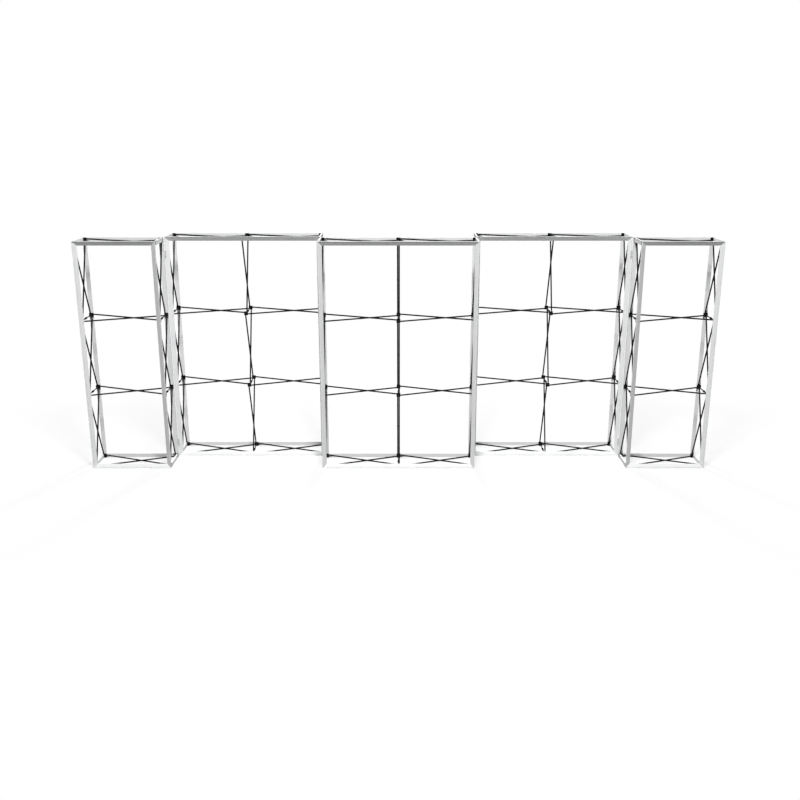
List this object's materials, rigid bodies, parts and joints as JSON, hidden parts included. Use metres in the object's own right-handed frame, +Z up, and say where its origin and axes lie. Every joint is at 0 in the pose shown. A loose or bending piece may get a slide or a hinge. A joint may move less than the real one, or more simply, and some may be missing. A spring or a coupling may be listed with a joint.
{
  "type": "pop-up trade show display frame",
  "caption": "Straight wall of linked pop-up lattice frames with aluminium channels, black scissor poles and hubs, whose right-hand end frame folds.",
  "frame": {"origin": "on the floor, in the middle of the wall's width and of its whole depth", "axes": "+X along the wall to the viewer's right, +Y from the front of the wall to its back, +Z up"},
  "size_m": [6.08, 0.715, 2.245],
  "materials": {
    "silver_channel": "satin anodised extrusion",
    "silver_side_bar": "satin anodised extrusion",
    "black_pole": "black anodised tube",
    "black_hub": "moulded black nylon",
    "black_strut": "moulded black nylon",
    "pin_steel": "plain steel pin",
    "rivet_steel": "blackened steel rivet",
    "magnet_steel": "disc magnet, epoxy coated black",
    "clip_nylon": "moulded grey nylon"
  },
  "bodies": {
    "frame5_side_bar_bottom_left": {"frame5_side_bar_bottom_left": "silver_side_bar"},
    "frame5_side_bar_bottom_right": {"frame5_side_bar_bottom_right": "silver_side_bar"},
    "frame5_side_bar_top_left": {"frame5_side_bar_top_left": "silver_side_bar"},
    "frame5_side_bar_top_right": {"frame5_side_bar_top_right": "silver_side_bar"},
    "wall": {"frame1_channels": "silver_channel", "frame2_channels": "silver_channel", "frame3_channels": "silver_channel", "frame4_channels": "silver_channel", "frame1_hubs": "black_hub", "frame2_hubs": "black_hub", "frame3_hubs": "black_hub", "frame4_hubs": "black_hub", "frame1_poles": "black_pole", "frame2_poles": "black_pole", "frame3_poles": "black_pole", "frame4_poles": "black_pole", "wall_side_bars": "silver_side_bar", "wall_lock_struts": "black_strut", "wall_pivot_pins": "pin_steel", "wall_crossing_rivets": "rivet_steel", "wall_hub_magnets": "magnet_steel", "link_clips": "clip_nylon", "frame5_back_channels": "silver_channel", "frame5_hub_back_left_1": "black_hub"},
    "frame5_front_channels": {"frame5_front_channels": "silver_channel"},
    "frame5_hub_back_left_2": {"frame5_hub_back_left_2": "black_hub"},
    "frame5_hub_back_left_3": {"frame5_hub_back_left_3": "black_hub"},
    "frame5_hub_back_left_4": {"frame5_hub_back_left_4": "black_hub"},
    "frame5_hub_back_right_1": {"frame5_hub_back_right_1": "black_hub"},
    "frame5_hub_back_right_2": {"frame5_hub_back_right_2": "black_hub"},
    "frame5_hub_back_right_3": {"frame5_hub_back_right_3": "black_hub"},
    "frame5_hub_back_right_4": {"frame5_hub_back_right_4": "black_hub"},
    "frame5_hub_front_left_1": {"frame5_hub_front_left_1": "black_hub"},
    "frame5_hub_front_left_2": {"frame5_hub_front_left_2": "black_hub"},
    "frame5_hub_front_left_3": {"frame5_hub_front_left_3": "black_hub"},
    "frame5_hub_front_left_4": {"frame5_hub_front_left_4": "black_hub"},
    "frame5_hub_front_right_1": {"frame5_hub_front_right_1": "black_hub"},
    "frame5_hub_front_right_2": {"frame5_hub_front_right_2": "black_hub"},
    "frame5_hub_front_right_3": {"frame5_hub_front_right_3": "black_hub"},
    "frame5_hub_front_right_4": {"frame5_hub_front_right_4": "black_hub"},
    "frame5_upright_pole_left_1_to_front": {"frame5_upright_pole_left_1_to_front": "black_pole"},
    "frame5_upright_pole_left_1_to_back": {"frame5_upright_pole_left_1_to_back": "black_pole"},
    "frame5_upright_pole_left_2_to_front": {"frame5_upright_pole_left_2_to_front": "black_pole"},
    "frame5_upright_pole_left_2_to_back": {"frame5_upright_pole_left_2_to_back": "black_pole"},
    "frame5_upright_pole_left_3_to_front": {"frame5_upright_pole_left_3_to_front": "black_pole"},
    "frame5_upright_pole_left_3_to_back": {"frame5_upright_pole_left_3_to_back": "black_pole"},
    "frame5_upright_pole_right_1_to_front": {"frame5_upright_pole_right_1_to_front": "black_pole"},
    "frame5_upright_pole_right_1_to_back": {"frame5_upright_pole_right_1_to_back": "black_pole"},
    "frame5_upright_pole_right_2_to_front": {"frame5_upright_pole_right_2_to_front": "black_pole"},
    "frame5_upright_pole_right_2_to_back": {"frame5_upright_pole_right_2_to_back": "black_pole"},
    "frame5_upright_pole_right_3_to_front": {"frame5_upright_pole_right_3_to_front": "black_pole"},
    "frame5_upright_pole_right_3_to_back": {"frame5_upright_pole_right_3_to_back": "black_pole"},
    "frame5_cross_pole_1_to_front": {"frame5_cross_pole_1_to_front": "black_pole"},
    "frame5_cross_pole_1_to_back": {"frame5_cross_pole_1_to_back": "black_pole"},
    "frame5_cross_pole_2_to_front": {"frame5_cross_pole_2_to_front": "black_pole"},
    "frame5_cross_pole_2_to_back": {"frame5_cross_pole_2_to_back": "black_pole"},
    "frame5_cross_pole_3_to_front": {"frame5_cross_pole_3_to_front": "black_pole"},
    "frame5_cross_pole_3_to_back": {"frame5_cross_pole_3_to_back": "black_pole"},
    "frame5_cross_pole_4_to_front": {"frame5_cross_pole_4_to_front": "black_pole"},
    "frame5_cross_pole_4_to_back": {"frame5_cross_pole_4_to_back": "black_pole"}
  },
  "joints": [
    {"name": "frame5_fold", "type": "hinge", "parent": "wall", "child": "frame5_upright_pole_left_1_to_front", "pos_m": [2.2778, -0.0435, 0.036], "axis": [1, 0, 0], "range_deg": [0, 64]},
    {"name": "upright_left_1_crossing", "type": "hinge", "parent": "frame5_upright_pole_left_1_to_front", "child": "frame5_upright_pole_left_1_to_back", "pos_m": [2.285, -0.1825, 0.3875], "axis": [1, 0, 0], "range_deg": [-128, 0]},
    {"name": "hub_front_left_2_pivot", "type": "hinge", "parent": "frame5_upright_pole_left_1_to_front", "child": "frame5_hub_front_left_2", "pos_m": [2.2778, -0.3215, 0.739], "axis": [1, 0, 0], "range_deg": [-64, 0]},
    {"name": "hub_back_left_2_pivot", "type": "hinge", "parent": "frame5_upright_pole_left_1_to_back", "child": "frame5_hub_back_left_2", "pos_m": [2.2922, -0.0435, 0.739], "axis": [1, 0, 0], "range_deg": [0, 64]},
    {"name": "hub_front_left_1_pivot", "type": "hinge", "parent": "frame5_upright_pole_left_1_to_back", "child": "frame5_hub_front_left_1", "pos_m": [2.2922, -0.3215, 0.036], "axis": [1, 0, 0], "range_deg": [0, 64]},
    {"name": "upright_left_2_foot", "type": "hinge", "parent": "frame5_hub_back_left_2", "child": "frame5_upright_pole_left_2_to_front", "pos_m": [2.2778, -0.0435, 0.771], "axis": [1, 0, 0], "range_deg": [0, 64]},
    {"name": "upright_left_2_crossing", "type": "hinge", "parent": "frame5_upright_pole_left_2_to_front", "child": "frame5_upright_pole_left_2_to_back", "pos_m": [2.285, -0.1825, 1.1225], "axis": [1, 0, 0], "range_deg": [-128, 0]},
    {"name": "hub_front_left_3_pivot", "type": "hinge", "parent": "frame5_upright_pole_left_2_to_front", "child": "frame5_hub_front_left_3", "pos_m": [2.2778, -0.3215, 1.474], "axis": [1, 0, 0], "range_deg": [-64, 0]},
    {"name": "hub_back_left_3_pivot", "type": "hinge", "parent": "frame5_upright_pole_left_2_to_back", "child": "frame5_hub_back_left_3", "pos_m": [2.2922, -0.0435, 1.474], "axis": [1, 0, 0], "range_deg": [0, 64]},
    {"name": "upright_left_3_foot", "type": "hinge", "parent": "frame5_hub_back_left_3", "child": "frame5_upright_pole_left_3_to_front", "pos_m": [2.2778, -0.0435, 1.506], "axis": [1, 0, 0], "range_deg": [0, 64]},
    {"name": "upright_left_3_crossing", "type": "hinge", "parent": "frame5_upright_pole_left_3_to_front", "child": "frame5_upright_pole_left_3_to_back", "pos_m": [2.285, -0.1825, 1.8575], "axis": [1, 0, 0], "range_deg": [-128, 0]},
    {"name": "hub_front_left_4_pivot", "type": "hinge", "parent": "frame5_upright_pole_left_3_to_front", "child": "frame5_hub_front_left_4", "pos_m": [2.2778, -0.3215, 2.209], "axis": [1, 0, 0], "range_deg": [-64, 0]},
    {"name": "hub_back_left_4_pivot", "type": "hinge", "parent": "frame5_upright_pole_left_3_to_back", "child": "frame5_hub_back_left_4", "pos_m": [2.2922, -0.0435, 2.209], "axis": [1, 0, 0], "range_deg": [0, 64]},
    {"name": "cross_1_foot", "type": "hinge", "parent": "wall", "child": "frame5_cross_pole_1_to_front", "pos_m": [2.301, -0.0435, 0.0272], "axis": [0, 0, 1], "range_deg": [-64, 0]},
    {"name": "cross_1_crossing", "type": "hinge", "parent": "frame5_cross_pole_1_to_front", "child": "frame5_cross_pole_1_to_back", "pos_m": [2.6525, -0.1825, 0.02], "axis": [0, 0, 1], "range_deg": [0, 128]},
    {"name": "hub_front_right_1_pivot", "type": "hinge", "parent": "frame5_cross_pole_1_to_front", "child": "frame5_hub_front_right_1", "pos_m": [3.004, -0.3215, 0.0272], "axis": [0, 0, 1], "range_deg": [0, 64]},
    {"name": "hub_back_right_1_pivot", "type": "hinge", "parent": "frame5_cross_pole_1_to_back", "child": "frame5_hub_back_right_1", "pos_m": [3.004, -0.0435, 0.0128], "axis": [0, 0, 1], "range_deg": [-64, 0]},
    {"name": "cross_2_foot", "type": "hinge", "parent": "frame5_hub_back_left_2", "child": "frame5_cross_pole_2_to_front", "pos_m": [2.301, -0.0435, 0.7622], "axis": [0, 0, 1], "range_deg": [-64, 0]},
    {"name": "cross_2_crossing", "type": "hinge", "parent": "frame5_cross_pole_2_to_front", "child": "frame5_cross_pole_2_to_back", "pos_m": [2.6525, -0.1825, 0.755], "axis": [0, 0, 1], "range_deg": [0, 128]},
    {"name": "hub_front_right_2_pivot", "type": "hinge", "parent": "frame5_cross_pole_2_to_front", "child": "frame5_hub_front_right_2", "pos_m": [3.004, -0.3215, 0.7622], "axis": [0, 0, 1], "range_deg": [0, 64]},
    {"name": "hub_back_right_2_pivot", "type": "hinge", "parent": "frame5_cross_pole_2_to_back", "child": "frame5_hub_back_right_2", "pos_m": [3.004, -0.0435, 0.7478], "axis": [0, 0, 1], "range_deg": [-64, 0]},
    {"name": "cross_3_foot", "type": "hinge", "parent": "frame5_hub_back_left_3", "child": "frame5_cross_pole_3_to_front", "pos_m": [2.301, -0.0435, 1.4972], "axis": [0, 0, 1], "range_deg": [-64, 0]},
    {"name": "cross_3_crossing", "type": "hinge", "parent": "frame5_cross_pole_3_to_front", "child": "frame5_cross_pole_3_to_back", "pos_m": [2.6525, -0.1825, 1.49], "axis": [0, 0, 1], "range_deg": [0, 128]},
    {"name": "hub_front_right_3_pivot", "type": "hinge", "parent": "frame5_cross_pole_3_to_front", "child": "frame5_hub_front_right_3", "pos_m": [3.004, -0.3215, 1.4972], "axis": [0, 0, 1], "range_deg": [0, 64]},
    {"name": "hub_back_right_3_pivot", "type": "hinge", "parent": "frame5_cross_pole_3_to_back", "child": "frame5_hub_back_right_3", "pos_m": [3.004, -0.0435, 1.4828], "axis": [0, 0, 1], "range_deg": [-64, 0]},
    {"name": "cross_4_foot", "type": "hinge", "parent": "frame5_hub_back_left_4", "child": "frame5_cross_pole_4_to_front", "pos_m": [2.301, -0.0435, 2.2322], "axis": [0, 0, 1], "range_deg": [-64, 0]},
    {"name": "cross_4_crossing", "type": "hinge", "parent": "frame5_cross_pole_4_to_front", "child": "frame5_cross_pole_4_to_back", "pos_m": [2.6525, -0.1825, 2.225], "axis": [0, 0, 1], "range_deg": [0, 128]},
    {"name": "hub_front_right_4_pivot", "type": "hinge", "parent": "frame5_cross_pole_4_to_front", "child": "frame5_hub_front_right_4", "pos_m": [3.004, -0.3215, 2.2322], "axis": [0, 0, 1], "range_deg": [0, 64]},
    {"name": "hub_back_right_4_pivot", "type": "hinge", "parent": "frame5_cross_pole_4_to_back", "child": "frame5_hub_back_right_4", "pos_m": [3.004, -0.0435, 2.2178], "axis": [0, 0, 1], "range_deg": [-64, 0]},
    {"name": "upright_right_1_foot", "type": "hinge", "parent": "frame5_hub_back_right_1", "child": "frame5_upright_pole_right_1_to_front", "pos_m": [3.0128, -0.0435, 0.036], "axis": [1, 0, 0], "range_deg": [0, 64]},
    {"name": "upright_right_1_crossing", "type": "hinge", "parent": "frame5_upright_pole_right_1_to_front", "child": "frame5_upright_pole_right_1_to_back", "pos_m": [3.02, -0.1825, 0.3875], "axis": [1, 0, 0], "range_deg": [-128, 0]},
    {"name": "upright_right_2_foot", "type": "hinge", "parent": "frame5_hub_back_right_2", "child": "frame5_upright_pole_right_2_to_front", "pos_m": [3.0128, -0.0435, 0.771], "axis": [1, 0, 0], "range_deg": [0, 64]},
    {"name": "upright_right_2_crossing", "type": "hinge", "parent": "frame5_upright_pole_right_2_to_front", "child": "frame5_upright_pole_right_2_to_back", "pos_m": [3.02, -0.1825, 1.1225], "axis": [1, 0, 0], "range_deg": [-128, 0]},
    {"name": "upright_right_3_foot", "type": "hinge", "parent": "frame5_hub_back_right_3", "child": "frame5_upright_pole_right_3_to_front", "pos_m": [3.0128, -0.0435, 1.506], "axis": [1, 0, 0], "range_deg": [0, 64]},
    {"name": "upright_right_3_crossing", "type": "hinge", "parent": "frame5_upright_pole_right_3_to_front", "child": "frame5_upright_pole_right_3_to_back", "pos_m": [3.02, -0.1825, 1.8575], "axis": [1, 0, 0], "range_deg": [-128, 0]},
    {"name": "front_channels_lift_off", "type": "slide", "parent": "wall", "child": "frame5_front_channels", "axis": [0, -1, 0], "range_m": [0, 0.89361]},
    {"name": "side_bar_bottom_left_lift_off", "type": "slide", "parent": "wall", "child": "frame5_side_bar_bottom_left", "axis": [-1, 0, 0], "range_m": [0, 0.16755]},
    {"name": "side_bar_bottom_right_lift_off", "type": "slide", "parent": "wall", "child": "frame5_side_bar_bottom_right", "axis": [1, 0, 0], "range_m": [0, 0.16755]},
    {"name": "side_bar_top_left_lift_off", "type": "slide", "parent": "wall", "child": "frame5_side_bar_top_left", "axis": [-1, 0, 0], "range_m": [0, 0.16755]},
    {"name": "side_bar_top_right_lift_off", "type": "slide", "parent": "wall", "child": "frame5_side_bar_top_right", "axis": [1, 0, 0], "range_m": [0, 0.16755]}
  ],
  "couplings": [
    {"joint": "upright_left_1_crossing", "follows": "frame5_fold", "ratio": -2},
    {"joint": "hub_front_left_2_pivot", "follows": "frame5_fold", "ratio": -1},
    {"joint": "hub_back_left_2_pivot", "follows": "frame5_fold", "ratio": 1},
    {"joint": "hub_front_left_1_pivot", "follows": "frame5_fold", "ratio": 1},
    {"joint": "upright_left_2_foot", "follows": "frame5_fold", "ratio": 1},
    {"joint": "upright_left_2_crossing", "follows": "frame5_fold", "ratio": -2},
    {"joint": "hub_front_left_3_pivot", "follows": "frame5_fold", "ratio": -1},
    {"joint": "hub_back_left_3_pivot", "follows": "frame5_fold", "ratio": 1},
    {"joint": "upright_left_3_foot", "follows": "frame5_fold", "ratio": 1},
    {"joint": "upright_left_3_crossing", "follows": "frame5_fold", "ratio": -2},
    {"joint": "hub_front_left_4_pivot", "follows": "frame5_fold", "ratio": -1},
    {"joint": "hub_back_left_4_pivot", "follows": "frame5_fold", "ratio": 1},
    {"joint": "cross_1_foot", "follows": "frame5_fold", "ratio": -1},
    {"joint": "cross_1_crossing", "follows": "frame5_fold", "ratio": 2},
    {"joint": "hub_front_right_1_pivot", "follows": "frame5_fold", "ratio": 1},
    {"joint": "hub_back_right_1_pivot", "follows": "frame5_fold", "ratio": -1},
    {"joint": "cross_2_foot", "follows": "frame5_fold", "ratio": -1},
    {"joint": "cross_2_crossing", "follows": "frame5_fold", "ratio": 2},
    {"joint": "hub_front_right_2_pivot", "follows": "frame5_fold", "ratio": 1},
    {"joint": "hub_back_right_2_pivot", "follows": "frame5_fold", "ratio": -1},
    {"joint": "cross_3_foot", "follows": "frame5_fold", "ratio": -1},
    {"joint": "cross_3_crossing", "follows": "frame5_fold", "ratio": 2},
    {"joint": "hub_front_right_3_pivot", "follows": "frame5_fold", "ratio": 1},
    {"joint": "hub_back_right_3_pivot", "follows": "frame5_fold", "ratio": -1},
    {"joint": "cross_4_foot", "follows": "frame5_fold", "ratio": -1},
    {"joint": "cross_4_crossing", "follows": "frame5_fold", "ratio": 2},
    {"joint": "hub_front_right_4_pivot", "follows": "frame5_fold", "ratio": 1},
    {"joint": "hub_back_right_4_pivot", "follows": "frame5_fold", "ratio": -1},
    {"joint": "upright_right_1_foot", "follows": "frame5_fold", "ratio": 1},
    {"joint": "upright_right_1_crossing", "follows": "frame5_fold", "ratio": -2},
    {"joint": "upright_right_2_foot", "follows": "frame5_fold", "ratio": 1},
    {"joint": "upright_right_2_crossing", "follows": "frame5_fold", "ratio": -2},
    {"joint": "upright_right_3_foot", "follows": "frame5_fold", "ratio": 1},
    {"joint": "upright_right_3_crossing", "follows": "frame5_fold", "ratio": -2},
    {"joint": "front_channels_lift_off", "follows": "frame5_fold", "m_per_rad": 0.8},
    {"joint": "side_bar_bottom_left_lift_off", "follows": "frame5_fold", "m_per_rad": 0.15},
    {"joint": "side_bar_bottom_right_lift_off", "follows": "frame5_fold", "m_per_rad": 0.15},
    {"joint": "side_bar_top_left_lift_off", "follows": "frame5_fold", "m_per_rad": 0.15},
    {"joint": "side_bar_top_right_lift_off", "follows": "frame5_fold", "m_per_rad": 0.15}
  ]
}
